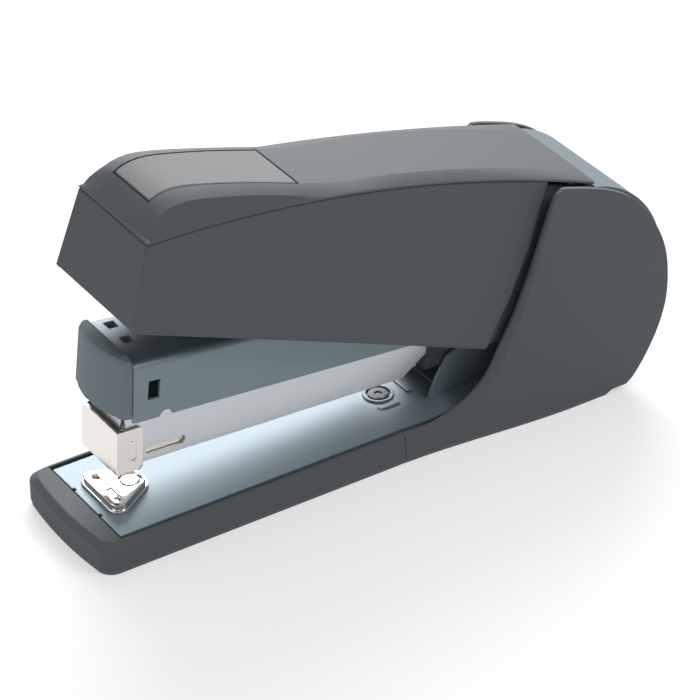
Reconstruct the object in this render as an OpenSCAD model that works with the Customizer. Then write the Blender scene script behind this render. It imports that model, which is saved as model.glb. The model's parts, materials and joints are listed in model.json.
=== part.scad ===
// Compound-lever desktop stapler: plastic base with two rear cheeks, sprung
// magazine, steel driver arm and a hollow plastic handle on a rear barrel.
// Nose towards -X, +Z up, origin on the ground in the middle of the base.

/* [Base] */
// Overall length, nose of the base to the back of the cheeks
base_l = 164; // [158:1:172]
// Half width of the base at the nose
base_w = 19.4; // [19:0.1:20.5]
// Half width of the base at the cheeks
cheek_w = 22.9; // [22.5:0.1:24]
// Thickness of the rubber sole
sole_t = 1.2; // [0.8:0.1:1.6]
// Height of the top of the base rim
rim_z = 8.4; // [8.2:0.1:9]
// Width and height of the chamfer round the rim
rim_chamfer = 1.5; // [1:0.1:1.6]
// Radius of the front corners of the base
corner_r = 4; // [3:0.5:6]

/* [Base plate and anvil] */
// Half width of the painted base plate
plate_w = 16.1; // [15.5:0.1:16.5]
// Height of the top of the base plate
plate_z = 8.2; // [8:0.1:8.3]
// Height of the top of the anvil
anvil_z = 10.4; // [9.8:0.1:10.6]

/* [Magazine] */
// Angle of the magazine above level at rest
magazine_tilt = 3.0; // [2.8:0.1:3.2]
// Half width of the magazine channel
magazine_w = 7.4; // [7.2:0.1:7.5]
// Height of the side of the magazine channel
magazine_h = 14.6; // [14.2:0.1:14.8]
// Length of the staple strip
strip_l = 50; // [20:1:54]

/* [Driver arm] */
// Angle of the driver arm above level at rest
arm_tilt = 6.1; // [6:0.1:6.2]
// Half width of the driver arm
arm_w = 11.5; // [11.3:0.1:11.6]
// Sheet thickness of the driver arm
arm_t = 1.0; // [0.8:0.1:1.0]

/* [Handle] */
// Half width of the handle along its lower edge
handle_w = 18; // [17.6:0.1:18.1]
// Wall thickness of the handle mouldings
handle_t = 1.8; // [1.5:0.1:2]
// Height of the lower front edge of the handle
handle_nose_z = 64; // [63:0.5:66]
// Height of the crest of the thumb rest
crest_z = 92; // [90:0.5:93]

/* [Hinges] */
// Pin of the magazine and the driver arm, from the origin
arm_pin_x = 71; // [70:0.5:72]
arm_pin_z = 16; // [15.5:0.5:17]
// Centre of the rear barrel, which the handle turns about
barrel_x = 54.5; // [54:0.5:55]
barrel_z = 31.5; // [31:0.5:32]
// Outer radius of the rear barrel
barrel_r = 28.5; // [28:0.1:28.8]

/* [Hidden] */
$fn = 48;

fit = 0.05;          // radial clearance of a pin that turns in its bore
gap = 0.3;           // clearance between pieces that pass each other
nose_x = -base_l / 2;
paint = [0.38, 0.45, 0.49];
dark = [0.19, 0.2, 0.22];
steel = [0.75, 0.77, 0.8];
nickel = [0.8, 0.78, 0.75];

// ---------------------------------------------------------------- helpers

// Smooth step from 0 to 1 as x runs from a to b
function ease(x, a, b) = let (t = min(1, max(0, (x - a) / (b - a)))) t * t * (3 - 2 * t);

// Catmull-Rom curve through p, with n steps to a span
function spline_at(p, i, t) =
    let (a = p[max(0, i - 1)], b = p[i], c = p[i + 1], d = p[min(len(p) - 1, i + 2)])
    0.5 * (2 * b + (c - a) * t + (2 * a - 5 * b + 4 * c - d) * t * t
           + (3 * b - a - 3 * c + d) * t * t * t);
function spline(p, n) =
    concat([for (i = [0:len(p) - 2], k = [0:n - 1]) spline_at(p, i, k / n)], [p[len(p) - 1]]);

// Closed solid through rings of equal length. A ribbon's ring runs out along
// one face and back along the other, and its ends are capped in quads.
function total(v) = [for (x = v) 1] * v;
function signed_volume(pts, faces) = total([for (f = faces)
    total([for (k = [1:len(f) - 2]) pts[f[0]] * cross(pts[f[k]], pts[f[k + 1]])])]);
function turned(faces) = [for (f = faces) [for (k = [len(f) - 1:-1:0]) f[k]]];
function flat_cap(n) = [[for (k = [0:n - 1]) k]];
function ribbon_cap(n) = [for (k = [0:n / 2 - 2]) [k, k + 1, n - 2 - k, n - 1 - k]];
module loft(rings, ribbon = false) {
    n = len(rings[0]);
    m = len(rings);
    cap = ribbon ? ribbon_cap(n) : flat_cap(n);
    pts = [for (r = rings) each r];
    sides = [for (i = [0:m - 2], k = [0:n - 1])
        let (a = i * n + k, b = i * n + (k + 1) % n)
        each [[a, b, b + n], [a, b + n, a + n]]];
    faces = concat(turned(cap), sides, [for (f = cap) [for (k = f) (m - 1) * n + k]]);
    polyhedron(pts, signed_volume(pts, faces) < 0 ? faces : turned(faces));
}

// A side view (x, z) given thickness from y = a to y = b
module across(a, b) translate([0, b, 0]) rotate([90, 0, 0]) linear_extrude(b - a) children();

// A cross-section (y, z) drawn out along X from x = a to x = b
module along(a, b) translate([a, 0, 0]) rotate([90, 0, 90]) linear_extrude(b - a) children();

// A pin or bore across the stapler, centred on y = 0
module cross_pin(x, z, d, l) translate([x, 0, z]) rotate([90, 0, 0]) cylinder(d = d, h = l, center = true);

// Both sides of something drawn on the +Y side
module both() {
    children();
    mirror([0, 1, 0]) children();
}

// Rectangle with rounded top corners, standing on y = 0
module arched(w, h, r) {
    translate([-w / 2, 0]) square([w, h - r]);
    translate([-w / 2 + r, 0]) square([w - 2 * r, h]);
    for (s = [-1, 1]) translate([s * (w / 2 - r), h - r]) circle(r);
}

// Inverted sheet-metal channel in cross-section, with bent top corners
module channel_section(w, h, t, r) difference() {
    arched(w, h, r);
    translate([0, -1]) arched(w - 2 * t, h - t + 1, max(r - t, 0.2));
}

// Helical spring along X from x = 0, made of straight facets of wire
module coil(l, d, wire, turns, steps = 10, sides = 6) {
    function centre(a) = [l * a / (360 * turns), (d / 2) * cos(a), (d / 2) * sin(a)];
    loft([for (i = [0:steps * turns]) let (a = 360 * i / steps)
        [for (k = [0:sides - 1]) let (b = 360 * k / sides)
            centre(a) + (wire / 2) * [cos(b), sin(b) * cos(a), sin(b) * sin(a)]]]);
}

// The magazine and the arm are drawn level, from their common pin
module at_magazine() translate([arm_pin_x, 0, arm_pin_z]) rotate([0, magazine_tilt, 0]) children();
module at_arm() translate([arm_pin_x, 0, arm_pin_z]) rotate([0, arm_tilt, 0]) children();

// ---------------------------------------------------------------- base

bow = 1.35;                        // how far the nose stands ahead of its corners
flare = [2, 55];                   // where the sides of the base swing out
heel_x = 69.5;                     // back of the base at the ground
cheek_lean = 0.055;                // inward lean of the cheeks' outer faces
cheek_in = 18.4;                   // inner face of a cheek
wall_z = rim_z - rim_chamfer;      // height of the plain wall of the base
rim_w = 0.7;                       // width of the level top of the rim
floor_z = 2.8;

function side_w(x) = base_w + (cheek_w - base_w) * ease(x, flare[0], flare[1]);
function cheek_y(x, z) = side_w(x) - cheek_lean * max(0, z - wall_z);

// Plan outline of the near half, from the nose to the heel, moved in by d
function plan_half(d) = let (w = base_w - d, n = nose_x + d, r = corner_r)
    concat([for (k = [0:6]) let (y = (w - r) * k / 6) [n + bow * pow(y / (w - r), 2) * 0.75, y]],
           [for (a = [15:15:75]) [n + bow * 0.75 + r * (1 - cos(a)), w - r + r * sin(a)]],
           [for (x = [n + bow * 0.75 + r, -60, -40, -20, 0]) [x, w]],
           [for (x = [4:6:58]) [x, side_w(x) - d]],
           [[heel_x - 6 - d, side_w(heel_x) - d], [heel_x - 1.8 - d, side_w(heel_x) - d - 1.8],
            [heel_x - d, side_w(heel_x) - d - 6]]);
function plan_ring(d, z) = let (h = plan_half(d))
    [for (p = h) [p[0], p[1], z], for (k = [len(h) - 1:-1:1]) [h[k][0], -h[k][1], z]];

// Side outline of a cheek: fillet off the rim, straight front edge, rounded back
front_edge = concat(spline([[4, rim_z - 0.6], [10.5, 8.9], [15.2, 9.7], [18.8, 10.7], [21.8, 12],
                            [24.3, 13.7], [26.6, 15.6], [28.4, 17.7], [30.1, 20.5], [31.6, 23.6]], 2),
                    [[36.2, 32.2], [40.4, 42.6], [44.8, 55.6], [46.8, 61.2]]);
back_edge = [[49.6, 63.6], [53.4, 62.6], [63, 59.1], [70.5, 54.4], [76.5, 47.3], [80.6, 38.8],
             [81.98, 30.5], [81.4, 21.5], [78.2, 12.8], [72.5, 4], [heel_x, sole_t]];
cheek_outline = concat([[4, sole_t]], front_edge, [[47.7, 62.6]], spline(back_edge, 4));

module cheek() {
    outer = [for (x = [0:3:84]) x];
    intersection() {
        across(cheek_in, cheek_w + 1) polygon(cheek_outline);
        loft([for (x = outer) [[x, 10, 0], [x, side_w(x), 0], [x, side_w(x), wall_z],
                               [x, cheek_y(x, 70), 70], [x, 10, 70]]]);
    }
}

// Chamfer that runs up the front edge of a cheek from the rim, and narrows to the top
module edge_cutter() {
    p = front_edge;
    n = len(p);
    loft([for (k = [0:n - 1])
        let (d = p[min(k + 1, n - 1)] - p[max(k - 1, 0)], u = [d[1], -d[0]] / norm(d),
             c = 1.4 - 1.1 * ease(k, 17, n - 1), w = cheek_y(p[k][0], p[k][1]),
             a = p[k] - 0.4 * c * u, b = p[k] + 1.4 * c * u)
        [[a[0], w - 1.4 * c, a[1]], [b[0], w + 0.4 * c, b[1]], [a[0], w + 0.4 * c, a[1]]]]);
}

// Curved wall between the cheeks, just inside the barrel and then down to the heel
function wall_curve(r, d) = concat([for (a = [30:-6:-6]) [barrel_x + r * cos(a), barrel_z + r * sin(a)]],
    [[80.2 - d, 22], [77.2 - d, 13.6], [71.6 - d, 4.4], [heel_x - d, sole_t + 0.1]]);
module back_wall() across(-cheek_in - 0.1, cheek_in + 0.1) polygon(concat(
    wall_curve(barrel_r - 1.9, 0), [for (k = [10:-1:0]) wall_curve(barrel_r - 3.5, 1.6)[k]]));

module base_shell() color(dark) difference() {
    union() {
        back_wall();
        difference() {
            loft([plan_ring(0, sole_t), plan_ring(0, wall_z), plan_ring(rim_chamfer, rim_z)]);
            // tray for the base plate, behind a wide level nose
            translate([0, 0, floor_z]) linear_extrude(rim_z) intersection() {
                polygon([for (p = plan_ring(rim_chamfer + rim_w, 0)) [p[0], p[1]]]);
                translate([plate_nose - gap, -30]) square([160, 60]);
            }
        }
        both() difference() {
            cheek();
            edge_cutter();
        }
        // posts and ribs that carry the base plate
        for (x = [anvil_pin_x, screw_x]) translate([x, 0, floor_z - 0.1])
            cylinder(d = 9, h = plate_z - 1 - floor_z);
        for (x = [-40, -12, 40]) translate([x, -plate_w, floor_z - 0.1])
            cube([1.6, 2 * plate_w, plate_z - 1 - floor_z]);
    }
    // blind bores for the handle pins, the anvil rivet and the plate screw
    cross_pin(barrel_x, barrel_z, 4 + 0.02, 2 * (cheek_in + 1.6));
    for (p = [[anvil_pin_x, 3.02], [screw_x, 2.52]])
        translate([p[0], 0, sole_t - 1]) cylinder(d = p[1], h = 10);
    // room for the heads of the bracket screws
    for (s = [-1, 1]) translate([44, s * 5, sole_t - 1]) cylinder(d = 3, h = 6);
}

module rubber_sole() color([0.25, 0.26, 0.28]) linear_extrude(sole_t)
    polygon([for (p = plan_ring(0.25, 0)) [p[0], p[1]]]);

plate_t = 1.0;
plate_nose = nose_x + 7.35;
screw_x = 9;

module base_plate() color(paint) translate([0, 0, plate_z - plate_t]) difference() {
    union() {
        difference() {
            translate([plate_nose, -plate_w, 0]) cube([66 - plate_nose, 2 * plate_w, plate_t]);
            // pressed recess round the screw, open to the back
            translate([12, 0, plate_t - 0.4]) linear_extrude(1) {
                translate([-3, -8]) square([14, 16]);
                translate([-8.5, -2.5]) square([10, 5]);
                for (s = [-1, 1]) translate([-3, s * 2.5]) circle(5.5);
            }
        }
        // raised ring and ribs in the recess
        translate([screw_x, 0, 0]) cylinder(d = 8, h = plate_t);
        translate([5.4, -6.4, 0]) cube([6, 1.6, plate_t]);
        translate([15.4, -3.4, 0]) cube([1.6, 6.8, plate_t]);
    }
    translate([screw_x, 0, -1]) cylinder(d = 3.2, h = 4);
    translate([screw_x, 0, plate_t - 0.6]) cylinder(d = 6.2, h = 1);
    translate([anvil_pin_x, 0, -1]) cylinder(d = 3.2, h = 4);
    // small notches in the front edge, and clearance under the bracket screws
    for (s = [-1, 1]) {
        translate([plate_nose - 1, s * 6.2 - 0.6, -1]) cube([1.7, 1.2, 4]);
        translate([44, s * 5, -1]) cylinder(d = 3, h = 4);
    }
}

anvil_pin_x = -62.6;
groove_x = -69;
anvil_foot = plate_z;

module anvil_plan(grow) hull() {
    for (s = [-1, 1]) translate([groove_x - 0.3, s * 6]) circle(2.3 + grow, $fn = 32);
    translate([anvil_pin_x, 0]) circle(3.9 + grow, $fn = 32);
}

module anvil() color(nickel) difference() {
    union() {
        translate([0, 0, anvil_foot]) linear_extrude(0.7) anvil_plan(0.6);
        translate([0, 0, anvil_foot]) linear_extrude(anvil_z - anvil_foot) anvil_plan(0);
    }
    // clinching groove for each leg, with a deeper pocket at its outer end
    for (s = [-1, 1]) {
        translate([groove_x - 0.75, s * 3.5 - 2.9, anvil_z - 0.4]) cube([1.5, 5.8, 1]);
        translate([groove_x - 0.75, s * 5.4 - 1, anvil_z - 1]) cube([1.5, 2, 2]);
    }
    translate([anvil_pin_x, 0, anvil_foot - 1]) cylinder(d = 3.1, h = 8);
    translate([anvil_pin_x, 0, anvil_z - 0.7]) cylinder(d = 5.8, h = 2);
}

module anvil_rivet() color(nickel) translate([anvil_pin_x, 0, 0]) {
    translate([0, 0, floor_z + 1.4]) cylinder(d = 3, h = anvil_z - 0.7 - floor_z - 1.4);
    translate([0, 0, anvil_z - 0.7]) cylinder(d1 = 5.4, d2 = 4.4, h = 0.5);
}

bracket_in = 7.8;
bracket_t = 1.0;
bracket_outline = [[18.4, plate_z], [20.4, 13], [23.6, 18.5], [30, 21.5], [60, 20.5], [66, 22.5],
                   [71, 22], [74.6, 20], [75.4, 16.5], [73, 11.5], [66, 10], [64.5, plate_z]];

module hinge_bracket() color(paint) difference() {
    union() {
        both() across(bracket_in, bracket_in + bracket_t) polygon(bracket_outline);
        translate([30, -bracket_in - 0.5, plate_z]) cube([34, 2 * bracket_in + 1, bracket_t]);
    }
    cross_pin(arm_pin_x, arm_pin_z, 4 + 0.02, 40);
    for (s = [-1, 1]) translate([44, s * 5, plate_z - 1]) cylinder(d = 2.6, h = 4);
}

module bracket_screws() color(steel) for (s = [-1, 1]) translate([44, s * 5, 0]) {
    translate([0, 0, floor_z - 0.6]) cylinder(d = 2.5, h = plate_z + bracket_t - floor_z + 0.6);
    translate([0, 0, plate_z + bracket_t]) cylinder(d = 4.6, h = 0.9);
}

module plate_screw() color(dark) translate([screw_x, 0, 0]) difference() {
    union() {
        translate([0, 0, floor_z - 1]) cylinder(d = 2.5, h = plate_z - floor_z + 0.5);
        translate([0, 0, plate_z - 0.6]) cylinder(d = 5.4, h = 0.5);
    }
    translate([0, 0, plate_z - 0.4]) cylinder(d = 2.2, h = 2, $fn = 6);
}

module hinge_pin() color(steel) {
    cross_pin(arm_pin_x, arm_pin_z, 4, 25.2);
    for (s = [-1, 1]) translate([arm_pin_x, s * 13, arm_pin_z]) rotate([90, 0, 0])
        cylinder(d = 6.5, h = 0.8, center = true);
}

handle_pin_in = 11.9;
module handle_pins() color(steel) both() translate([barrel_x, cheek_in + 1.5, barrel_z])
    rotate([90, 0, 0]) cylinder(d = 4, h = cheek_in + 1.5 - handle_pin_in);

// Leaf spring that holds the magazine off the anvil
module magazine_spring() color(steel) across(-4, 4)
    polygon([[49, 9.25], [60, 9.25], [60, 9.75], [49.2, 9.75], [40, 14.2], [33, 14.5], [33, 14],
             [40, 13.7]]);

// ---------------------------------------------------------------- magazine

mag_z = -3.2;                      // underside of the channel, from the pin
mag_nose = -138.9;                 // front of the channel, from the pin
mag_tail = -53;                    // back of its sides
mag_t = 0.8;
leg_z = mag_z + 1.1;               // tips of the staple legs
crown_z = leg_z + 6.4;             // top of the staples

module magazine_channel() color(steel) at_magazine() difference() {
    translate([0, 0, mag_z]) difference() {
        along(mag_nose, mag_tail) translate([-magazine_w, 0]) square([2 * magazine_w, magazine_h]);
        along(mag_nose - 1, mag_tail + 1) translate([-magazine_w + mag_t, mag_t])
            square([2 * (magazine_w - mag_t), magazine_h]);
    }
    // throat that the staples leave by
    translate([mag_nose - 1, -6.5, mag_z - 1]) cube([3.2, 13, 3]);
    // sight slot on each side
    across(-20, 20) {
        translate([-133, mag_z + 1.7]) square([9.6, 2.3]);
        translate([-123.4, mag_z + 2.85]) circle(1.15);
    }
    // slanted lower back corner of each side
    across(-20, 20)
        polygon([[mag_tail - 8, mag_z - 1], [mag_tail + 1, mag_z + 6], [mag_tail + 1, mag_z - 1]]);
}

plate_front = -141.6;              // nickel plate, from the pin
module front_plate() color(nickel) at_magazine() translate([0, 0, mag_z - 1.2]) difference() {
    union() {
        translate([plate_front, -8.3, 0]) cube([7.2, 16.6, 12]);
        // raised upright oval on each flange
        across(-8.5, 8.5) {
            translate([plate_front + 3.4, 4.2]) square([1.9, 3.6]);
            for (z = [4.2, 7.8]) translate([plate_front + 4.35, z]) circle(0.95);
        }
    }
    translate([plate_front + 0.8, -7.5, -1]) cube([10, 15, 14]);
    // rounded back corners of the side flanges
    across(-20, 20) for (z = [0, 12]) translate([plate_front + 7.2, z]) difference() {
        square(3, center = true);
        translate([-1.5, z > 0 ? -1.5 : 1.5]) circle(1.5);
    }
}

rail_z = mag_z + mag_t;            // foot of the rail
module staple_rail() color(steel) at_magazine() difference() {
    translate([mag_nose + 0.6, -5.6, rail_z]) cube([mag_tail - mag_nose - 2, 11.2, crown_z - 0.6 - rail_z]);
    translate([mag_nose, -4.8, rail_z - 1]) cube([100, 9.6, crown_z - 0.4 - rail_z]);
    translate([mag_nose, -10, mag_z]) cube([0.9, 20, 20]);
    // slot that the web of the pusher runs in
    translate([pusher_x - 9.6, -0.9, 0]) cube([100, 1.8, 20]);
}

strip_nose = mag_nose + 1.3;
module staple_strip() color([0.85, 0.8, 0.65]) at_magazine() difference() {
    translate([strip_nose, -6.4, leg_z]) cube([strip_l, 12.8, crown_z - leg_z]);
    translate([strip_nose - 1, -5.75, leg_z - 1]) cube([strip_l + 2, 11.5, crown_z - leg_z + 0.5]);
}

// Moulded tail of the magazine: hollow for the pusher spring, bored for the pin
module magazine_block() color(dark) at_magazine() difference() {
    union() {
        translate([mag_tail, -magazine_w + 0.1, mag_z + 0.3]) cube([12, 2 * magazine_w - 0.2, 11]);
        translate([mag_tail + 12, -7.2, mag_z + 0.3]) cube([45, 14.4, 8.8]);
    }
    translate([mag_tail - 1, 0, rod_z]) rotate([0, 90, 0]) cylinder(d = 6.4, h = 32);
    cross_pin(0, 0, 4 + 2 * fit, 40);
    // heel cut back below the pin
    across(-20, 20) polygon([[1, mag_z - 1], [6, mag_z + 4], [6, mag_z - 1]]);
}

rod_z = 0.6;
rod_end = mag_tail + 31;
module guide_rod() color(steel) at_magazine() translate([pusher_x - 4, 0, rod_z]) rotate([0, 90, 0])
    cylinder(d = 1.8, h = rod_end - pusher_x + 4);

pusher_x = strip_nose + strip_l + gap + 9;      // back of the pusher
pusher_travel = 22;
module pusher() color([0.3, 0.31, 0.33]) at_magazine() {
    // saddle over the rail, open below
    difference() {
        translate([pusher_x - 9, -6.35, leg_z + 0.2]) cube([9, 12.7, crown_z + 1.4 - leg_z]);
        translate([pusher_x - 10, -5.8, leg_z - 1]) cube([11, 11.6, crown_z - 0.3 - leg_z + 1]);
        translate([pusher_x - 7, -20, leg_z + 3]) cube([5, 40, 1.2]);
    }
    // web through the slot, and a foot inside the rail that slides on the rod
    difference() {
        translate([pusher_x - 3, 0, 0]) union() {
            translate([0, -0.6, 2]) cube([3, 1.2, 2.5]);
            translate([0, -3, -1.9]) cube([3, 6, 4.5]);
        }
        translate([pusher_x - 5, 0, rod_z]) rotate([0, 90, 0]) cylinder(d = 2.2, h = 8);
    }
}

module pusher_spring() color(steel) at_magazine() translate([pusher_x + gap, 0, rod_z])
    coil(rod_end - pusher_x - 2 * gap - 0.6, 3.6, 0.5, 26, 10, 6);

// Return spring between the magazine tail and the driver arm
module arm_spring() color(steel) at_magazine() translate([-24, 0, mag_z + 9.65]) rotate([0, -90, 0])
    coil(12.6, 7, 0.9, 5, 16, 8);

// ---------------------------------------------------------------- driver arm

arm_top = 19.9;                    // top of the arm, from the pin
arm_nose = -139.6;                 // joint of the arm and the nose cap
arm_skirt = 3.9;                   // lower front edge of its sides
cap_nose = -145;

module arm_side() polygon([[arm_nose, arm_skirt], [arm_nose - 1, arm_top + 1], [-14, arm_top + 1],
                           [-5, 13], [4.2, 4], [4.2, -2.5], [-2, -5], [-12, 0], [-40, 3.6], [-56, 5.6]]);

module driver_arm() color(paint) at_arm() difference() {
    intersection() {
        translate([0, 0, -10]) along(arm_nose - 3, 8)
            channel_section(2 * arm_w, arm_top + 10, arm_t, 1.8);
        across(-30, 30) arm_side();
    }
    cross_pin(0, 0, 4 + 2 * fit, 40);
    // sight window and half-round notch in each side
    across(-30, 30) {
        translate([-136, 9.5]) square([3.1, 5]);
        translate([-130.6, arm_skirt]) circle(1.7);
    }
    // square holes that the nose cap snaps into
    for (y = [-0.2, 7.2]) translate([-137, y - 1.4, arm_top - 2]) cube([2.6, 2.8, 4]);
}

// Plan of the nose cap: bowed front, rounded into the sides
function cap_plan(d) = let (w = arm_w - 0.1 - d, r = 2.4 - d * 0.5)
    concat([[arm_nose + 0.6, -w], [cap_nose + 4.6, -w]],
           [for (a = [75:-15:15]) [cap_nose + 2 + d + r * (1 - sin(90 - a)), -w + r * (1 - sin(a))]],
           [for (k = [-4:4]) let (y = (w - r) * k / 4) [cap_nose + d + 2 * pow(k / 4, 2), y]],
           [for (a = [15:15:75]) [cap_nose + 2 + d + r * (1 - sin(90 - a)), w - r * (1 - sin(a))]],
           [[cap_nose + 4.6, w], [arm_nose + 0.6, w]]);
function cap_ring(d, z) = [for (p = cap_plan(d)) [p[0], p[1], z]];

module nose_cap() color([0.3, 0.35, 0.39]) at_arm() difference() {
    loft([cap_ring(0, 5.4), cap_ring(0, arm_top - 0.6), cap_ring(0.5, arm_top + 0.7),
          cap_ring(1.7, arm_top + 1.5)]);
    loft([cap_ring(1, 0), cap_ring(1, arm_top - 0.4)]);
    translate([arm_nose - 0.15, -20, 0]) rotate([0, -3, 0]) cube([20, 40, 40]);
}

blade_x = -140.1;
module driver_blade() color(steel) at_arm() {
    translate([blade_x, -6.3, mag_z - 0.1]) cube([0.6, 12.6, arm_top - 1.2 - mag_z]);
    translate([blade_x, -6.3, arm_top - arm_t - 0.8]) cube([10, 12.6, 0.8]);
}

module cap_rivets() color(steel) at_arm() for (s = [-1, 1]) translate([-133, s * 4.5, arm_top - 2.6])
    cylinder(d = 2.6, h = 0.8);

// ---------------------------------------------------------------- handle

handle_nose = -70;                 // lower front edge
cover_nose = -64.1;                // upper front edge
cover_tail = 60.8;                 // back edge of the cover
seam_front = 84.5;
skirt_tail_z = 23.5;               // lower edge of the side walls between the cheeks

// Height of the joint between the side walls and the cover
function seam_z(x) = let (u = x - cover_nose) seam_front - 0.035 * u - 0.00128 * u * u;
// Half width at that joint, narrowest amidships
function seam_w(x) = x < -2 ? 14.25 + 1.37 * pow((x + 2) / 62, 2) : 14.25 + 3 * pow((x + 2) / 63, 2);
// Height of the lower edge of the side walls
function skirt_z(x) = handle_nose_z - 0.4 * (x - handle_nose) - 0.00008 * pow(x - handle_nose, 2);

// Side wall stations lean with the front face, which slopes back
function wall_ring(u, drop) =
    let (x = handle_nose + u * (cover_tail - handle_nose), xt = cover_nose + u * (cover_tail - cover_nose),
         zb = max(skirt_z(x), skirt_tail_z), zt = seam_z(xt) - 0.15 - drop, wt = seam_w(xt), t = handle_t)
    [[x, handle_w, zb], [xt, wt, zt], [xt, wt - t, zt], [x, handle_w - t, zb]];

module plain_wall(drop = 0) loft([for (k = [0:24]) wall_ring(k / 24, drop)]);

// The wall steps in where it runs between the cheeks, and stops below the underside of the cover
step_y = 1.4;
step_drop = 1.4;
step_edge = [[26.8, 19.4], [28.4, 22.4], [32.4, 29.6], [36.1, 35.4], [39.1, 41.4], [42.1, 47.4], [46.2, 60],
             [49.4, 70]];
module behind_step(grow) across(0, 30)
    polygon(concat([for (p = step_edge) p - [grow, 0]], [[100, 90], [100, 0], [20, 0]]));
module side_wall() {
    difference() {
        plain_wall();
        behind_step(0);
    }
    intersection() {
        translate([0, -step_y, 0]) plain_wall(step_drop);
        behind_step(2);
    }
}

module front_wall() {
    t = handle_t;
    w0 = handle_w - 0.4;
    w1 = seam_w(cover_nose) - 0.4;
    z0 = handle_nose_z;
    z1 = seam_z(cover_nose) - 0.15;
    loft([[[handle_nose, -w0, z0], [handle_nose, w0, z0], [handle_nose + t, w0, z0],
           [handle_nose + t, -w0, z0]],
          [[cover_nose, -w1, z1], [cover_nose, w1, z1], [cover_nose + t, w1, z1],
           [cover_nose + t, -w1, z1]]]);
}

module handle_shell() color(dark) difference() {
    union() {
        both() side_wall();
        front_wall();
        // pivot bosses inside the side walls
        both() translate([barrel_x, 17.2, barrel_z]) rotate([90, 0, 0]) cylinder(d = 11, h = 3.6);
    }
    cross_pin(barrel_x, barrel_z, 4 + 2 * fit, 60);
}

// Profile of the cover along its middle: nose slope, crest, thumb rest, back
crown_path = spline([[cover_nose - 1, seam_front - 0.6], [cover_nose, seam_front + 0.8], [-59.2, 90.4],
                     [-54.5, crest_z], [-48, crest_z - 0.6], [-33.5, crest_z - 4.5],
                     [-19.8, crest_z - 8.9], [-8, 80], [8, 77.2], [26, 72.8], [44, 67.2],
                     [cover_tail, 61.1], [cover_tail + 3, 59.6]], 6);
function crown_at(x) = lookup(x, crown_path);

// Half widths of the crease beside the thumb rest and of the rest itself
function crease_w(x) = 12.8 + (seam_w(x) - 12.9) * (1 - ease(x, cover_nose, -57.5))
                     + (seam_w(x) - 13.1) * ease(x, -36, -7);
function pad_w(x) = 7.7 + 1.3 * (x + 59) / 39;
pad_x = [-58.9, -20];
pad_depth = 0.8;
hood = [cover_nose, -9];           // stretch that carries the creased hood

// Half cross-section of the cover from the joint to the middle, as [y, z]
function cover_half(x, d) =
    let (s = seam_z(x), w = seam_w(x), c = crown_at(x), k = min(crease_w(x), w - 0.8),
         hoodness = 1 - ease(x, -24, hood[1]),
         crease_z = max(s + 0.55, (c - 1.3) * hoodness + (s + 0.7) * (1 - hoodness)),
         sunk = x > pad_x[0] && x < pad_x[1] ? pad_depth : 0, p = pad_w(x) + 0.25)
    [[w - d, s], [w - d - 0.2, s + 0.4 - d * 0.2], [k - d, crease_z - d],
     [(k + p) / 2 - d * 0.3, (crease_z + 2 * c) / 3 - d], [p + 0.12 - d * 0.1, c - d - 0.02],
     [p - d * 0.1, c - d - (d > 0 ? 0 : sunk)], [p * 0.5, c + 0.05 - d - (d > 0 ? 0 : sunk)]];

cover_stations = [cover_nose, -63, -61.8, -60.4, pad_x[0] - 0.35, pad_x[0] + 0.05, -57, -55, -52.5, -50, -46,
                  -42, -38, -34, -30, -26, -23, pad_x[1] - 0.05, pad_x[1] + 0.35, -17, -14, -11, -8, -4,
                  0, 5, 10, 16, 22, 28, 34, 40, 46, 51, 56, cover_tail];

// Over the front wall the underside of the cover stays above the joint
function cover_under(x) = let (low = seam_z(x) + 0.03 - 4 * ease(x, -61.8, -59), h = cover_half(x, handle_t))
    [for (k = [0:len(h) - 1]) [h[k][0], max(h[k][1], low + 0.01 * k)]];
function cover_ring(x) = let (o = cover_half(x, 0), i = cover_under(x), n = len(o))
    concat([for (k = [0:n - 1]) [x, o[k][0], o[k][1]]], [for (k = [n - 1:-1:0]) [x, -o[k][0], o[k][1]]],
           [for (k = [0:n - 1]) [x, -i[k][0], i[k][1]]], [for (k = [n - 1:-1:0]) [x, i[k][0], i[k][1]]]);

// Boss that a lever screw bites in, from height z up into the wall of the cover
module screw_boss(x, z) intersection() {
    translate([x, 0, z]) cylinder(d = 6, h = 30);
    across(-4, 4) polygon([[x - 4, 0], [x + 4, 0], [x + 4, crown_at(x + 4) - 1.3],
                           [x - 4, crown_at(x - 4) - 1.3]]);
}

module top_cover() color(dark) difference() {
    union() {
        loft([for (x = cover_stations) cover_ring(x)], ribbon = true);
        screw_boss(-34, 71.45);
        screw_boss(14, 63.15);
    }
    for (p = lever_screw_at) translate([p[0], 0, p[1]]) cylinder(d = 2.5, h = 7);
}

// Textured thumb rest, let into the cover
function pad_ring(x) = let (p = pad_w(x) - 0.1, c = crown_at(x))
    [[x, p, c - pad_depth + 0.16], [x, p, c - 0.1], [x, p - 0.4, c + 0.05], [x, -p + 0.4, c + 0.05],
     [x, -p, c - 0.1], [x, -p, c - pad_depth + 0.16]];
module thumb_pad() color([0.42, 0.43, 0.44])
    loft([for (k = [0:18]) pad_ring(pad_x[0] + 0.25 + (pad_x[1] - pad_x[0] - 0.5) * k / 18)]);

lever_in = 12.1;
lever_t = 1.0;
bar_x = 36.8;
bar_z = 43.45;
bar_r = 3.4;
lever_outline = [[-45, 72.5], [0, 66], [30, 58], [46, 51.5], [58, 47], [61.5, 38], [60.5, 28], [57, 25.4],
                 [51, 25.4], [46, 31], [41, 38], [34, 39], [32, 46], [20, 52], [-45, 66.5]];

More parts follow.
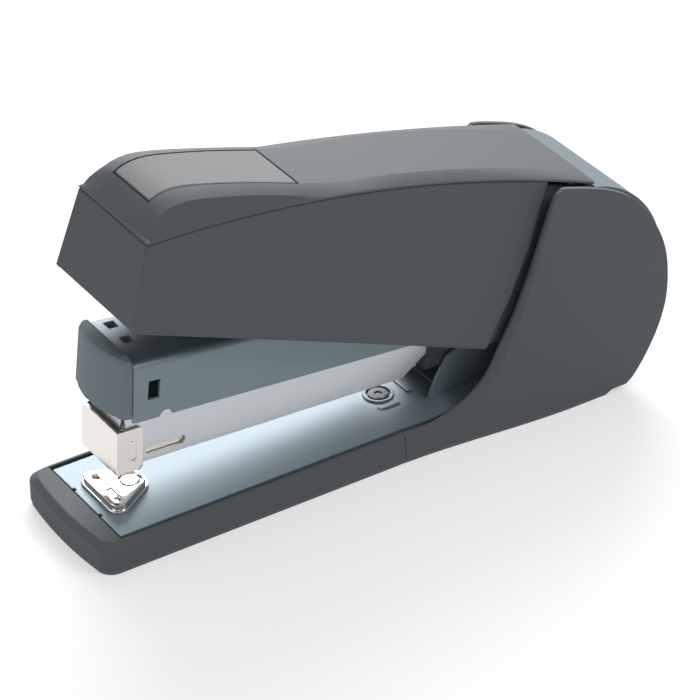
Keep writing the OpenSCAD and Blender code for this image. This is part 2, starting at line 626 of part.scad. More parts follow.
module handle_lever() color(paint) difference() {
    across(-lever_in - lever_t, lever_in + lever_t) polygon(lever_outline);
    // hollow below the top sheet
    across(-lever_in, lever_in) polygon([[-46, 71.4], [0, 64.9], [30, 56.9], [46, 50.4], [70, 41.4],
                                         [70, 10], [-46, 10]]);
    cross_pin(barrel_x, barrel_z, 4 + 2 * fit, 60);
    cross_pin(bar_x, bar_z, 3.02, 60);
    for (x = [-34, 14]) translate([x, 0, 50]) cylinder(d = 2.8, h = 40);
}

module press_bar() color(steel) {
    cross_pin(bar_x, bar_z, 2 * bar_r, 2 * lever_in - 0.4);
    cross_pin(bar_x, bar_z, 3, 2 * (lever_in + lever_t));
}

module rear_cover() color(paint) {
    across(-17.1, 17.1) difference() {
        intersection() {
            translate([barrel_x, barrel_z]) circle(barrel_r, $fn = 96);
            polygon([[barrel_x, barrel_z], [62, 62], [90, 62], [90, 41.3]]);
        }
        translate([barrel_x, barrel_z]) circle(barrel_r - 1.6, $fn = 96);
    }
    // two webs that carry it on the lever
    for (s = [-1, 1]) across(s * 9 - 0.8, s * 9 + 0.8)
        polygon([[50, 50.05], [58, 47.05], [68, 52], [67.5, 55.5], [61.8, 58]]);
}

lever_screw_at = [[-34, 69.8], [14, 60.95]];
module lever_screws() color(steel) for (p = lever_screw_at) translate([p[0], 0, p[1]]) {
    translate([0, 0, -1.9]) cylinder(d = 4.6, h = 1.4);
    translate([0, 0, -0.5]) cylinder(d = 2.5, h = 6);
}

// ---------------------------------------------------------------- assembly

base_shell();
rubber_sole();
base_plate();
anvil();
anvil_rivet();
hinge_bracket();
bracket_screws();
plate_screw();
hinge_pin();
handle_pins();
magazine_spring();
magazine_channel();
front_plate();
staple_rail();
staple_strip();
magazine_block();
guide_rod();
arm_spring();
pusher();
pusher_spring();
driver_arm();
nose_cap();
driver_blade();
cap_rivets();
handle_shell();
top_cover();
thumb_pad();
handle_lever();
press_bar();
rear_cover();
lever_screws();
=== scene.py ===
"""Desktop stapler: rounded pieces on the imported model, its staples, finishes and studio stage."""

import json
import math
from collections import namedtuple

import bmesh
import bpy
from mathutils import Matrix, Vector


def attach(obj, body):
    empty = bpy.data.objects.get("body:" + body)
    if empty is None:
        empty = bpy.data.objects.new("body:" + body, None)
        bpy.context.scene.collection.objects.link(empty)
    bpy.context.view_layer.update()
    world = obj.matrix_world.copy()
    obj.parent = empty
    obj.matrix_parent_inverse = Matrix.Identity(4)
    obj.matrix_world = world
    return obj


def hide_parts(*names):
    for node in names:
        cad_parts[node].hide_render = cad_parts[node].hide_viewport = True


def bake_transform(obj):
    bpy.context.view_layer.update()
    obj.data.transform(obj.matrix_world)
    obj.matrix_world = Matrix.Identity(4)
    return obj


bl_info = {
    "name": "Desktop stapler",
    "version": (1, 0, 0),
    "blender": (4, 5, 0),
    "location": "View3D > Sidebar > Stapler",
    "description": "Rounds and finishes the pieces of a packed stapler and sets its studio stage",
    "category": "Object",
}

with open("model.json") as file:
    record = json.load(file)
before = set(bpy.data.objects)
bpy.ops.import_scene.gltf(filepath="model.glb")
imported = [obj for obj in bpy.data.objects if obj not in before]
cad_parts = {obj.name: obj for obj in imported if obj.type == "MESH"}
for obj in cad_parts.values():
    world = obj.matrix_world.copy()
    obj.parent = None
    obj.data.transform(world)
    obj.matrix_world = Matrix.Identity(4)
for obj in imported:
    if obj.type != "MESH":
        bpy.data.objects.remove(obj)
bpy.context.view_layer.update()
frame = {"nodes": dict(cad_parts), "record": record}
RECORD = frame["record"]
BODY_OF = {node: body for body, nodes in RECORD["behaviour"]["bodies"].items() for node in nodes}
SLOT_OF = {part["node"]: part["material_slot"] for part in RECORD["subparts"]}

MM = 0.001
WELD = 1e-6                      # points closer than this are one point
FLAT = math.radians(0.4)         # faces that meet flatter than this are one face
KEEN = math.radians(34)          # edges sharper than this are rounded
CREASE = math.radians(38)        # edges sharper than this stay sharp in the shading

HINGE = Vector((0.071, 0.0, 0.016))  # pin of the magazine and the driver arm
MAGAZINE_TILT = math.radians(3.0)
STAPLE_BEND = 0.9 * MM           # outer radius of a staple's corners
STAPLE_BEND_STEPS = 4
QUARTER_TURN = math.radians(90)

WEAR_AND_HIGHLIGHT_SHARE = 0.6                  # how far a rounded edge goes to the lighter tone: edge wear and a painted highlight
DRIFT_SHARE = 0.35               # how far the slow drift goes to it
COAT_ROUGHNESS = 0.15

CAMERA_AZIMUTH = math.radians(-33.5141)
CAMERA_ELEVATION = math.radians(33.6369)
CAMERA_DISTANCE = 0.85352
CAMERA_LENS = 179.02             # mm, on a sensor SENSOR_WIDTH wide
SENSOR_WIDTH = 36.0
CAMERA_AIM = Vector((0.000595, 0.0, 0.02412))
CAMERA_CLIP = (0.01, 20.0)

FLOOR_HALF = 3.0
FLOOR_ROUGHNESS = 0.9
FLOOR_SPECULAR = 0.1
SURROUND_COLOUR = (0.92, 0.96, 1, 1)
# softboxes: light setting, side of the square, place, and the point it is aimed at
SOFTBOXES = (
    ("overhead", 1.3, (0.15, 0.25, 1.15), (0, 0, 0)),
    ("rear", 0.9, (0.55, 0.95, 0.75), (0, 0, 0.04)),
    ("side", 0.35, (0.55, -0.66, 0.83), (0, 0, 0.01)),
    ("fill", 0.8, (-0.55, -1.25, 0.5), (0, 0, 0.04)),
    ("nose", 0.6, (-1.1, -0.15, 0.55), (0, 0, 0.04)),
)


# ------------------------------------------------------------------ settings


class StaplerSizes(bpy.types.PropertyGroup):
    """Edge radii and staple sizes"""

    handle_edge: bpy.props.FloatProperty(
        name="Handle edge", description="Radius on the edges of the handle walls",
        default=0.55 * MM, min=0.0, max=0.8 * MM, unit="LENGTH", precision=5)
    base_edge: bpy.props.FloatProperty(
        name="Base edge", description="Radius on the edges of the base moulding",
        default=0.28 * MM, min=0.0, max=0.3 * MM, unit="LENGTH", precision=5)
    sheet_edge: bpy.props.FloatProperty(
        name="Sheet edge", description="Radius on the edges of the painted and plated sheet",
        default=0.18 * MM, min=0.0, max=0.5 * MM, unit="LENGTH", precision=5)
    thick_edge: bpy.props.FloatProperty(
        name="Thick edge", description="Radius on the edges of the anvil and the nose cap",
        default=0.3 * MM, min=0.0, max=0.7 * MM, unit="LENGTH", precision=5)
    hardware_edge: bpy.props.FloatProperty(
        name="Hardware edge", description="Radius on pins, screws and rivets",
        default=0.2 * MM, min=0.0, max=0.4 * MM, unit="LENGTH", precision=5)
    staple_wire: bpy.props.FloatProperty(
        name="Staple wire", description="Thickness of one staple along the strip",
        default=0.5 * MM, min=0.3 * MM, max=0.7 * MM, unit="LENGTH", precision=5)
    staple_pitch: bpy.props.FloatProperty(
        name="Staple pitch", description="Distance from one staple to the next",
        default=0.56 * MM, min=0.5 * MM, max=0.8 * MM, unit="LENGTH", precision=5)


def colour(name, text, value):
    """A colour setting with its default."""
    return bpy.props.FloatVectorProperty(
        name=name, description=text, subtype="COLOR", size=3, min=0.0, max=1.0, default=value)


def power(name, text, value):
    """A light's power setting with its default."""
    return bpy.props.FloatProperty(
        name=name, description=text, default=value, min=0.0, max=100.0, unit="POWER")


class StaplerFinishes(bpy.types.PropertyGroup):
    """Colours of the finishes"""

    moulding: colour("Moulding", "Charcoal moulded plastic", (0.0085, 0.0120, 0.0245))
    sheen: colour("Sheen", "Tint of the sheen on plastic and paint", (0.58, 0.76, 1.0))
    thumb_rest: colour("Thumb rest", "Grained soft grey", (0.086, 0.090, 0.100))
    sole: colour("Sole", "Dark rubber", (0.026, 0.026, 0.028))
    paint: colour("Paint", "Blue-grey enamel", (0.044, 0.090, 0.140))
    paint_moulding: colour("Painted moulding", "Blue-grey plastic", (0.058, 0.083, 0.110))
    nickel: colour("Nickel", "Warm bright nickel", (0.36, 0.34, 0.315))
    zinc: colour("Zinc", "Satin zinc-plated steel", (0.74, 0.78, 0.83))
    steel: colour("Steel", "Bright steel", (0.56, 0.57, 0.58))
    spring: colour("Spring", "Oiled spring steel", (0.36, 0.37, 0.38))
    wire: colour("Staple wire", "Pale plated wire", (0.95, 0.93, 0.88))
    black: colour("Black", "Blackened steel and acetal", (0.014, 0.015, 0.017))


class StaplerLights(bpy.types.PropertyGroup):
    """Strength of the studio lights"""

    sky: bpy.props.FloatProperty(
        name="Surround", description="Brightness of the pale surround",
        default=0.28, min=0.0, max=3.0)
    overhead: power("Overhead", "Power of the overhead softbox", 7.0)
    nose: power("Nose", "Power of the softbox in front of the nose", 3.2)
    rear: power("Rear", "Power of the low softbox behind the stapler", 26.0)
    side: power("Side", "Power of the high softbox on the near side", 4.0)
    fill: power("Fill", "Power of the low softbox on the near side", 1.5)
    glow: bpy.props.FloatProperty(
        name="Floor glow", description="Light that the floor gives off, as a light table does",
        default=0.5, min=0.0, max=1.0)
    floor: bpy.props.FloatProperty(
        name="Floor", description="How pale the floor is",
        default=0.4, min=0.0, max=1.0, subtype="FACTOR")


# ------------------------------------------------------------- shader groups


def shader_group(name, inputs, outputs):
    """An empty shader group with named sockets, and its two ends."""
    tree = bpy.data.node_groups.new(name, "ShaderNodeTree")
    for label, kind, value in inputs:
        socket = tree.interface.new_socket(
            name=label, in_out="INPUT", socket_type="NodeSocket" + kind)
        if value is not None:
            socket.default_value = value
    for label, kind in outputs:
        tree.interface.new_socket(name=label, in_out="OUTPUT", socket_type="NodeSocket" + kind)
    return tree, tree.nodes.new("NodeGroupInput"), tree.nodes.new("NodeGroupOutput")


def math_node(tree, kind, first, second):
    """A Math node fed by sockets or numbers; returns its output."""
    node = tree.nodes.new("ShaderNodeMath")
    node.operation = kind
    for place, value in enumerate((first, second)):
        if isinstance(value, (int, float)):
            node.inputs[place].default_value = value
        else:
            tree.links.new(value, node.inputs[place])
    return node.outputs[0]


def noise_node(tree, vector, scale, detail, rough):
    """A Noise texture; scale is a socket or a number."""
    node = tree.nodes.new("ShaderNodeTexNoise")
    node.inputs["Detail"].default_value = detail
    node.inputs["Roughness"].default_value = rough
    tree.links.new(vector, node.inputs["Vector"])
    if isinstance(scale, (int, float)):
        node.inputs["Scale"].default_value = scale
    else:
        tree.links.new(scale, node.inputs["Scale"])
    return node.outputs["Fac"]


def ramp_node(tree, value, low, high):
    """Stretches the part of a value between low and high to 0..1."""
    node = tree.nodes.new("ShaderNodeMapRange")
    node.clamp = True
    node.inputs["From Min"].default_value = low
    node.inputs["From Max"].default_value = high
    tree.links.new(value, node.inputs["Value"])
    return node.outputs["Result"]


def spark_grain_group():
    """Fine spark-eroded mould texture: a height and a mask of the brightest specks."""
    tree, start, end = shader_group(
        "Spark grain", [("Vector", "Vector", None), ("Scale", "Float", 2500.0)],
        [("Height", "Float"), ("Speck", "Float")])
    fine = noise_node(tree, start.outputs["Vector"], start.outputs["Scale"], 3.0, 0.6)
    cells = tree.nodes.new("ShaderNodeTexVoronoi")
    cells.feature = "SMOOTH_F1"
    tree.links.new(start.outputs["Vector"], cells.inputs["Vector"])
    tree.links.new(math_node(tree, "MULTIPLY", start.outputs["Scale"], 0.7), cells.inputs["Scale"])
    mixed = math_node(tree, "ADD", math_node(tree, "MULTIPLY", fine, 0.6),
                      math_node(tree, "MULTIPLY", cells.outputs["Distance"], 0.4))
    tree.links.new(mixed, end.inputs["Height"])
    tree.links.new(ramp_node(tree, fine, 0.56, 0.72), end.inputs["Speck"])
    return tree


def tone_drift_group():
    """Slow drift between two tones, with specks and rounded edges in the lighter one; the lighter
    edges are edge wear and a painted highlight.
    """
    tree, start, end = shader_group(
        "Tone drift",
        [("Vector", "Vector", None), ("Base", "Color", (0.1, 0.1, 0.1, 1)),
         ("Lighter", "Color", (0.2, 0.2, 0.2, 1)), ("Scale", "Float", 40.0),
         ("Mask", "Float", 0.0)],
        [("Color", "Color"), ("Drift", "Float")])
    slow = noise_node(tree, start.outputs["Vector"], start.outputs["Scale"], 4.0, 0.55)
    drift = ramp_node(tree, slow, 0.3, 0.7)
    share = math_node(tree, "MAXIMUM", math_node(tree, "MULTIPLY", drift, DRIFT_SHARE),
                      start.outputs["Mask"])
    mix = tree.nodes.new("ShaderNodeMix")
    mix.data_type = "RGBA"
    tree.links.new(share, mix.inputs["Factor"])
    tree.links.new(start.outputs["Base"], mix.inputs["A"])
    tree.links.new(start.outputs["Lighter"], mix.inputs["B"])
    tree.links.new(mix.outputs["Result"], end.inputs["Color"])
    tree.links.new(drift, end.inputs["Drift"])
    return tree


def rolled_streaks_group():
    """Rolling marks drawn out along one direction, as a height."""
    tree, start, end = shader_group(
        "Rolled streaks",
        [("Vector", "Vector", None), ("Along", "Vector", (60.0, 2600.0, 2600.0))],
        [("Height", "Float")])
    stretch = tree.nodes.new("ShaderNodeVectorMath")
    stretch.operation = "MULTIPLY"
    tree.links.new(start.outputs["Vector"], stretch.inputs[0])
    tree.links.new(start.outputs["Along"], stretch.inputs[1])
    marks = noise_node(tree, stretch.outputs[0], 1.0, 3.0, 0.65)
    tree.links.new(marks, end.inputs["Height"])
    return tree


GROUP_MAKERS = {
    "Spark grain": spark_grain_group,
    "Tone drift": tone_drift_group,
    "Rolled streaks": rolled_streaks_group,
}


def placed_group(tree, name):
    """A shared effect placed in a material, built the first time it is asked for."""
    node = tree.nodes.new("ShaderNodeGroup")
    node.node_tree = bpy.data.node_groups.get(name) or GROUP_MAKERS[name]()
    return node


# ----------------------------------------------------------------- finishes

# a slot's colour setting, how much lighter its second tone is, roughness from and to, metallic,
# scale of the grain, its depth in mm, share of the specks, depth of the streaks in mm, coat,
# specular
Finish = namedtuple("Finish", "setting lift smooth dull metallic grain_scale grain_depth specks"
                              " streak_depth coat specular")
FINISHES = {
    "black_plastic": Finish("moulding", 1.6, 0.30, 0.38, 0.0, 2600, 0.025, 0.25, 0.0, 0.0, 0.37),
    "grained_rubber": Finish(
        "thumb_rest", 1.6, 0.62, 0.75, 0.0, 1500, 0.090, 0.55, 0.0, 0.0, 0.35),
    "sole_rubber": Finish("sole", 1.8, 0.75, 0.9, 0.0, 1800, 0.050, 0.2, 0.0, 0.0, 0.3),
    "blue_grey_paint": Finish("paint", 1.25, 0.38, 0.48, 0.0, 900, 0.004, 0.05, 0.0, 0.02, 0.12),
    "blue_grey_moulding": Finish(
        "paint_moulding", 1.35, 0.33, 0.42, 0.0, 1800, 0.015, 0.1, 0.0, 0.1, 0.5),
    "warm_nickel": Finish("nickel", 1.1, 0.34, 0.46, 1.0, 700, 0.004, 0.0, 0.004, 0.0, 0.5),
    "zinc_steel": Finish("zinc", 1.12, 0.28, 0.42, 1.0, 900, 0.003, 0.1, 0.010, 0.0, 0.5),
    "bright_steel": Finish("steel", 1.15, 0.2, 0.34, 1.0, 900, 0.003, 0.05, 0.006, 0.0, 0.5),
    "spring_steel": Finish("spring", 1.3, 0.25, 0.4, 1.0, 900, 0.004, 0.1, 0.006, 0.0, 0.5),
    "staple_wire": Finish("wire", 1.1, 0.18, 0.3, 1.0, 900, 0.003, 0.05, 0.004, 0.0, 0.5),
    "black_screw": Finish("black", 2.0, 0.3, 0.45, 0.6, 1500, 0.008, 0.2, 0.0, 0.0, 0.5),
    "dark_moulding": Finish("black", 1.8, 0.4, 0.55, 0.0, 2200, 0.020, 0.2, 0.0, 0.0, 0.4),
}


def finish(slot):
    """The procedural material of a slot."""
    if slot in bpy.data.materials:
        return bpy.data.materials[slot]
    row = FINISHES[slot]
    colours = bpy.context.scene.stapler_finishes
    base = tuple(getattr(colours, row.setting))
    material = bpy.data.materials.new(slot)
    material.use_nodes = True
    tree = material.node_tree
    shader = tree.nodes["Principled BSDF"]
    shader.inputs["Metallic"].default_value = row.metallic
    shader.inputs["Specular IOR Level"].default_value = row.specular
    if not row.metallic:
        shader.inputs["Specular Tint"].default_value = (*colours.sheen, 1)
    shader.inputs["Coat Weight"].default_value = row.coat
    shader.inputs["Coat Roughness"].default_value = COAT_ROUGHNESS
    where = tree.nodes.new("ShaderNodeTexCoord").outputs["Object"]

    grain = placed_group(tree, "Spark grain")
    grain.inputs["Scale"].default_value = row.grain_scale
    tree.links.new(where, grain.inputs["Vector"])
    # rounded edges are drawn lighter: edge wear and a painted highlight along each edge
    rubbed = tree.nodes.new("ShaderNodeAttribute")
    rubbed.attribute_name = "rubbed"
    mask = math_node(tree, "MAXIMUM",
                     math_node(tree, "MULTIPLY", grain.outputs["Speck"], row.specks),
                     math_node(tree, "MULTIPLY", rubbed.outputs["Fac"], WEAR_AND_HIGHLIGHT_SHARE))
    tone = placed_group(tree, "Tone drift")
    tone.inputs["Base"].default_value = (*base, 1)
    tone.inputs["Lighter"].default_value = (*(min(1.0, part * row.lift) for part in base), 1)
    tree.links.new(where, tone.inputs["Vector"])
    tree.links.new(mask, tone.inputs["Mask"])
    tree.links.new(tone.outputs["Color"], shader.inputs["Base Color"])

    gloss = tree.nodes.new("ShaderNodeMapRange")
    gloss.inputs["To Min"].default_value = row.smooth
    gloss.inputs["To Max"].default_value = row.dull
    tree.links.new(tone.outputs["Drift"], gloss.inputs["Value"])
    tree.links.new(gloss.outputs["Result"], shader.inputs["Roughness"])

    bump = tree.nodes.new("ShaderNodeBump")
    bump.inputs["Distance"].default_value = row.grain_depth * MM
    tree.links.new(grain.outputs["Height"], bump.inputs["Height"])
    if row.streak_depth:
        streaks = placed_group(tree, "Rolled streaks")
        tree.links.new(where, streaks.inputs["Vector"])
        second = tree.nodes.new("ShaderNodeBump")
        second.inputs["Distance"].default_value = row.streak_depth * MM
        tree.links.new(streaks.outputs["Height"], second.inputs["Height"])
        tree.links.new(bump.outputs["Normal"], second.inputs["Normal"])
        bump = second
    tree.links.new(bump.outputs["Normal"], shader.inputs["Normal"])
    return material


# ------------------------------------------------------------------- pieces


def piece(name, bm, body, slot, *nodes):
    """Makes a mesh object from bm, finishes it, and hangs it on its body in place of the nodes.

    A piece with no body is hung on no body.
    """
    for face in bm.faces:
        face.smooth = True
    for edge in bm.edges:
        edge.smooth = len(edge.link_faces) == 2 and edge.calc_face_angle(0.0) < CREASE
    mesh = bpy.data.meshes.new(name)
    bm.to_mesh(mesh)
    bm.free()
    obj = bpy.data.objects.new(name, mesh)
    bpy.context.scene.collection.objects.link(obj)
    mesh.materials.append(finish(slot))
    soften = obj.modifiers.new("Even shading", "WEIGHTED_NORMAL")
    soften.keep_sharp = True
    if body:
        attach(obj, body)
    if nodes:
        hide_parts(*nodes)
    return obj


def merged(node):
    """A merged copy of a CAD node, its many-sided flat faces cut afresh into triangles."""
    if node not in frame["nodes"]:
        raise RuntimeError("no CAD node named " + node)
    bm = bmesh.new()
    bm.from_mesh(frame["nodes"][node].data)
    bmesh.ops.remove_doubles(bm, verts=bm.verts, dist=WELD)
    bmesh.ops.dissolve_limit(bm, angle_limit=FLAT, verts=bm.verts, edges=bm.edges)
    bmesh.ops.triangulate(bm, faces=[face for face in bm.faces if len(face.verts) > 4])
    return bm


def round_edges(bm, radius, segments=2, clamp=False):
    """Rounds the outward edges of bm and marks them for the lighter tone, as edge wear and a
    painted highlight.
    """
    rubbed = bm.verts.layers.float.new("rubbed")
    keen = [edge for edge in bm.edges
            if edge.is_manifold and edge.is_convex and edge.calc_face_angle(0.0) > KEEN]
    made = bmesh.ops.bevel(bm, geom=keen, offset=radius, offset_type="OFFSET", segments=segments,
                           profile=0.5, affect="EDGES", clamp_overlap=clamp, material=-1)
    for face in made["faces"]:
        for vert in face.verts:
            vert[rubbed] = 1.0


def rounded_pieces(table, radius, segments=2, clamp=False):
    """Rounded copies of CAD nodes: table holds (node, piece name)."""
    for node, name in table:
        bm = merged(node)
        round_edges(bm, radius, segments, clamp)
        piece(name, bm, BODY_OF[node], SLOT_OF[node], node)


class StaplerOperator:
    """What every operator of the stapler shares"""

    bl_options = {"REGISTER", "UNDO"}


class STAPLER_OT_base(StaplerOperator, bpy.types.Operator):
    """Rounds the base moulding and its rubber sole"""

    bl_idname = "stapler.base"
    bl_label = "Base mouldings"

    def execute(self, context):
        sizes = context.scene.stapler_sizes
        rounded_pieces([("base_shell", "base_moulding")], sizes.base_edge)
        rounded_pieces([("rubber_sole", "sole_pad")], sizes.sheet_edge)
        return {"FINISHED"}


class STAPLER_OT_base_metal(StaplerOperator, bpy.types.Operator):
    """Finishes the base plate, the hinge bracket and the anvil"""

    bl_idname = "stapler.base_metal"
    bl_label = "Base metalwork"

    def execute(self, context):
        sizes = context.scene.stapler_sizes
        rounded_pieces([("base_plate", "floor_plate"), ("hinge_bracket", "rear_bracket")],
                       sizes.sheet_edge)
        rounded_pieces([("anvil", "clinching_anvil")], sizes.thick_edge)
        rounded_pieces([("anvil_rivet", "anvil_stud")], sizes.hardware_edge)
        return {"FINISHED"}


class STAPLER_OT_magazine(StaplerOperator, bpy.types.Operator):
    """Finishes the staple magazine"""

    bl_idname = "stapler.magazine"
    bl_label = "Magazine"

    def execute(self, context):
        sizes = context.scene.stapler_sizes
        rounded_pieces([("magazine_channel", "magazine_trough"), ("staple_rail", "inner_rail"),
                        ("magazine_block", "magazine_tail"), ("pusher", "staple_pusher"),
                        ("front_plate", "nose_plate")], sizes.sheet_edge)
        return {"FINISHED"}


class STAPLER_OT_staples(StaplerOperator, bpy.types.Operator):
    """Bends one staple from wire and repeats it along the strip"""

    bl_idname = "stapler.staples"
    bl_label = "Staples"

    def execute(self, context):
        sizes = context.scene.stapler_sizes
        to_level = Matrix.Rotation(-MAGAZINE_TILT, 4, "Y") @ Matrix.Translation(-HINGE)
        strip = [to_level @ vert.co for vert in frame["nodes"]["staple_strip"].data.vertices]
        low = Vector([min(point[axis] for point in strip) for axis in range(3)])
        high = Vector([max(point[axis] for point in strip) for axis in range(3)])
        wire, bend = sizes.staple_wire, STAPLE_BEND
        bm = bmesh.new()
        section = [bm.verts.new((low.x + along, high.y - across, low.z))
                   for along, across in ((0, 0), (wire, 0), (wire, wire), (0, wire))]
        end = [bm.faces.new(section)]

        def verts_of(geometry):
            """The points among some bmesh geometry."""
            return [part for part in geometry if isinstance(part, bmesh.types.BMVert)]

        def faces_of(geometry):
            """The faces among some bmesh geometry."""
            return [part for part in geometry if isinstance(part, bmesh.types.BMFace)]

        def drawn_out(faces, way):
            """Extrudes the end of the wire and returns its new end."""
            made = bmesh.ops.extrude_face_region(bm, geom=faces)["geom"]
            bmesh.ops.translate(bm, verts=verts_of(made), vec=way)
            bmesh.ops.delete(bm, geom=faces, context="FACES_ONLY")
            return faces_of(made)

        def turned(faces, centre):
            """Bends the end of the wire round a corner and returns its new end."""
            geometry = (faces + [edge for face in faces for edge in face.edges]
                        + [vert for face in faces for vert in face.verts])
            made = bmesh.ops.spin(bm, geom=geometry, cent=centre, axis=(1, 0, 0),
                                  angle=QUARTER_TURN, steps=STAPLE_BEND_STEPS)["geom_last"]
            last = faces_of(made)
            bmesh.ops.delete(bm, geom=[face for face in faces if face.is_valid],
                             context="FACES_ONLY")
            return last

        # the copy stays behind as the cut end of the wire
        bmesh.ops.duplicate(bm, geom=end)
        end = drawn_out(end, Vector((0, 0, high.z - bend - low.z)))
        end = turned(end, (low.x, high.y - bend, high.z - bend))
        end = drawn_out(end, Vector((0, low.y - high.y + 2 * bend, 0)))
        end = turned(end, (low.x, low.y + bend, high.z - bend))
        drawn_out(end, Vector((0, 0, low.z + bend - high.z)))
        bmesh.ops.remove_doubles(bm, verts=bm.verts, dist=WELD)
        bmesh.ops.recalc_face_normals(bm, faces=bm.faces)

        one = bm.verts[:] + bm.edges[:] + bm.faces[:]
        count = int((high.x - low.x - wire) / sizes.staple_pitch)
        for number in range(1, count + 1):
            copy = bmesh.ops.duplicate(bm, geom=one)["geom"]
            bmesh.ops.translate(bm, verts=verts_of(copy), vec=(number * sizes.staple_pitch, 0, 0))
        bmesh.ops.transform(bm, matrix=to_level.inverted(), verts=bm.verts)
        piece("staples", bm, BODY_OF["staple_strip"], SLOT_OF["staple_strip"], "staple_strip")
        return {"FINISHED"}


class STAPLER_OT_driver_arm(StaplerOperator, bpy.types.Operator):
    """Finishes the driver arm, its nose cap and its blade"""

    bl_idname = "stapler.driver_arm"
    bl_label = "Driver arm"

    def execute(self, context):
        sizes = context.scene.stapler_sizes
        rounded_pieces([("driver_arm", "pressed_arm"), ("driver_blade", "staple_driver")],
                       sizes.sheet_edge)
        rounded_pieces([("nose_cap", "arm_nose_cap")], sizes.thick_edge, 3, clamp=True)
        return {"FINISHED"}


class STAPLER_OT_handle(StaplerOperator, bpy.types.Operator):
    """Rounds the handle walls, the top cover and the rear barrel cover"""

    bl_idname = "stapler.handle"
    bl_label = "Handle mouldings"

    def execute(self, context):
        sizes = context.scene.stapler_sizes
        rounded_pieces([("handle_shell", "handle_walls")], sizes.handle_edge, 3)
        rounded_pieces([("top_cover", "handle_cover"), ("rear_cover", "barrel_cover"),
                        ("thumb_pad", "thumb_rest")], sizes.sheet_edge, 2, clamp=True)
        return {"FINISHED"}


class STAPLER_OT_hardware(StaplerOperator, bpy.types.Operator):
    """Finishes the lever, the pins, the screws and the springs"""

    bl_idname = "stapler.hardware"
    bl_label = "Lever, pins and springs"

    def execute(self, context):
        sizes = context.scene.stapler_sizes
        rounded_pieces([("handle_lever", "press_lever")], sizes.sheet_edge)
        rounded_pieces([("bracket_screws", "bracket_screw_pair"),
                        ("plate_screw", "floor_plate_screw"),
                        ("hinge_pin", "headed_pin"), ("handle_pins", "handle_pin_pair"),
                        ("guide_rod", "pusher_rod"), ("cap_rivets", "cap_rivet_pair"),
                        ("press_bar", "press_roller"), ("lever_screws", "lever_screw_pair")],
                       sizes.hardware_edge)
        # a spring: node, piece, body at each end, way from one to the other
        for node, name, fixed, moving, along in (
                ("magazine_spring", "leaf_spring", "base", "magazine", (0, 0, 1)),
                ("arm_spring", "arm_coil", "base", "driver_arm", (0, 0, 1)),
                ("pusher_spring", "pusher_coil", "pusher", "magazine", (1, 0, 0))):
            spring = piece(name, merged(node), None, SLOT_OF[node], node)
            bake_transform(spring)
        return {"FINISHED"}


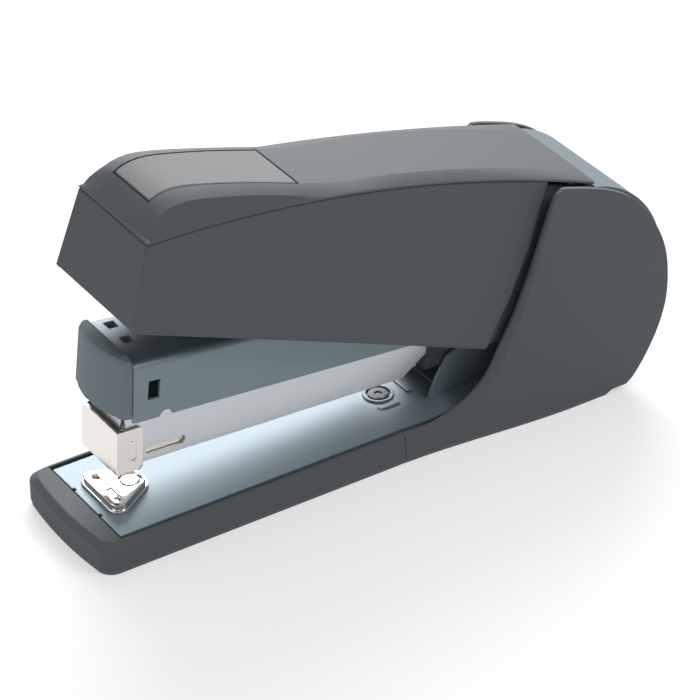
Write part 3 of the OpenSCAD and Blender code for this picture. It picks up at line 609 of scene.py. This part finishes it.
class STAPLER_OT_stage(StaplerOperator, bpy.types.Operator):
    """Sets the camera, the pale floor and the soft studio light"""

    bl_idname = "stapler.stage"
    bl_label = "Studio stage"

    def softbox(self, name, size, energy, place, aim):
        """A square area light aimed at a point."""
        data = bpy.data.lights.new(name, "AREA")
        data.shape = "SQUARE"
        data.size = size
        data.energy = energy
        light = bpy.data.objects.new(name, data)
        light.location = place
        light.rotation_euler = (Vector(aim) - Vector(place)).to_track_quat("-Z", "Y").to_euler()
        bpy.context.scene.collection.objects.link(light)

    def camera(self, scene):
        """The camera, at its angles and distance from its aim."""
        level = math.cos(CAMERA_ELEVATION)
        back = Vector((math.sin(CAMERA_AZIMUTH) * level, -math.cos(CAMERA_AZIMUTH) * level,
                       math.sin(CAMERA_ELEVATION)))
        data = bpy.data.cameras.new("camera")
        data.lens = CAMERA_LENS
        data.sensor_width = SENSOR_WIDTH
        data.clip_start, data.clip_end = CAMERA_CLIP
        camera = bpy.data.objects.new("camera", data)
        camera.location = CAMERA_AIM + CAMERA_DISTANCE * back
        camera.rotation_euler = (-back).to_track_quat("-Z", "Y").to_euler()
        scene.collection.objects.link(camera)
        scene.camera = camera

    def floor(self, scene, lights):
        """The pale floor, which gives off a little light of its own."""
        bm = bmesh.new()
        bmesh.ops.create_grid(bm, x_segments=1, y_segments=1, size=FLOOR_HALF)
        mesh = bpy.data.meshes.new("floor")
        bm.to_mesh(mesh)
        bm.free()
        floor = bpy.data.objects.new("floor", mesh)
        scene.collection.objects.link(floor)
        paper = bpy.data.materials.new("pale_floor")
        paper.use_nodes = True
        surface = paper.node_tree.nodes["Principled BSDF"].inputs
        surface["Base Color"].default_value = (lights.floor, lights.floor, lights.floor, 1)
        surface["Roughness"].default_value = FLOOR_ROUGHNESS
        surface["Specular IOR Level"].default_value = FLOOR_SPECULAR
        surface["Emission Color"].default_value = (1, 1, 1, 1)
        surface["Emission Strength"].default_value = lights.glow
        mesh.materials.append(paper)

    def execute(self, context):
        scene = context.scene
        lights = scene.stapler_lights
        self.camera(scene)
        self.floor(scene, lights)
        world = bpy.data.worlds.new("surround")
        world.use_nodes = True
        sky = world.node_tree.nodes["Background"].inputs
        sky["Color"].default_value = SURROUND_COLOUR
        sky["Strength"].default_value = lights.sky
        scene.world = world
        for setting, size, place, aim in SOFTBOXES:
            self.softbox(setting + "_softbox", size, getattr(lights, setting), place, aim)
        scene.view_settings.view_transform = "Standard"
        return {"FINISHED"}


OPERATORS = (STAPLER_OT_base, STAPLER_OT_base_metal, STAPLER_OT_magazine, STAPLER_OT_staples,
             STAPLER_OT_driver_arm, STAPLER_OT_handle, STAPLER_OT_hardware, STAPLER_OT_stage)


class STAPLER_PT_panel(bpy.types.Panel):
    """Lists the settings and the steps of the stapler"""

    bl_idname = "STAPLER_PT_panel"
    bl_label = "Stapler"
    bl_space_type = "VIEW_3D"
    bl_region_type = "UI"
    bl_category = "Stapler"

    def draw(self, context):
        for group in (context.scene.stapler_sizes, context.scene.stapler_finishes,
                      context.scene.stapler_lights):
            box = self.layout.box()
            for name in group.__annotations__:
                box.prop(group, name)
        for operator in OPERATORS:
            self.layout.operator(operator.bl_idname)


SETTINGS = (("stapler_sizes", StaplerSizes), ("stapler_finishes", StaplerFinishes),
            ("stapler_lights", StaplerLights))
CLASSES = tuple(group for _, group in SETTINGS) + OPERATORS + (STAPLER_PT_panel,)


def register():
    """Registers the classes and hangs the settings on the scene."""
    for item in CLASSES:
        bpy.utils.register_class(item)
    for name, group in SETTINGS:
        setattr(bpy.types.Scene, name, bpy.props.PointerProperty(type=group))


def unregister():
    """Takes away what register() added."""
    for name, _ in SETTINGS:
        delattr(bpy.types.Scene, name)
    for item in reversed(CLASSES):
        bpy.utils.unregister_class(item)


def main():
    """Builds every piece in order."""
    register()
    bpy.ops.stapler.base()
    bpy.ops.stapler.base_metal()
    bpy.ops.stapler.magazine()
    bpy.ops.stapler.staples()
    bpy.ops.stapler.driver_arm()
    bpy.ops.stapler.handle()
    bpy.ops.stapler.hardware()
    bpy.ops.stapler.stage()


if __name__ == "__main__":
    main()
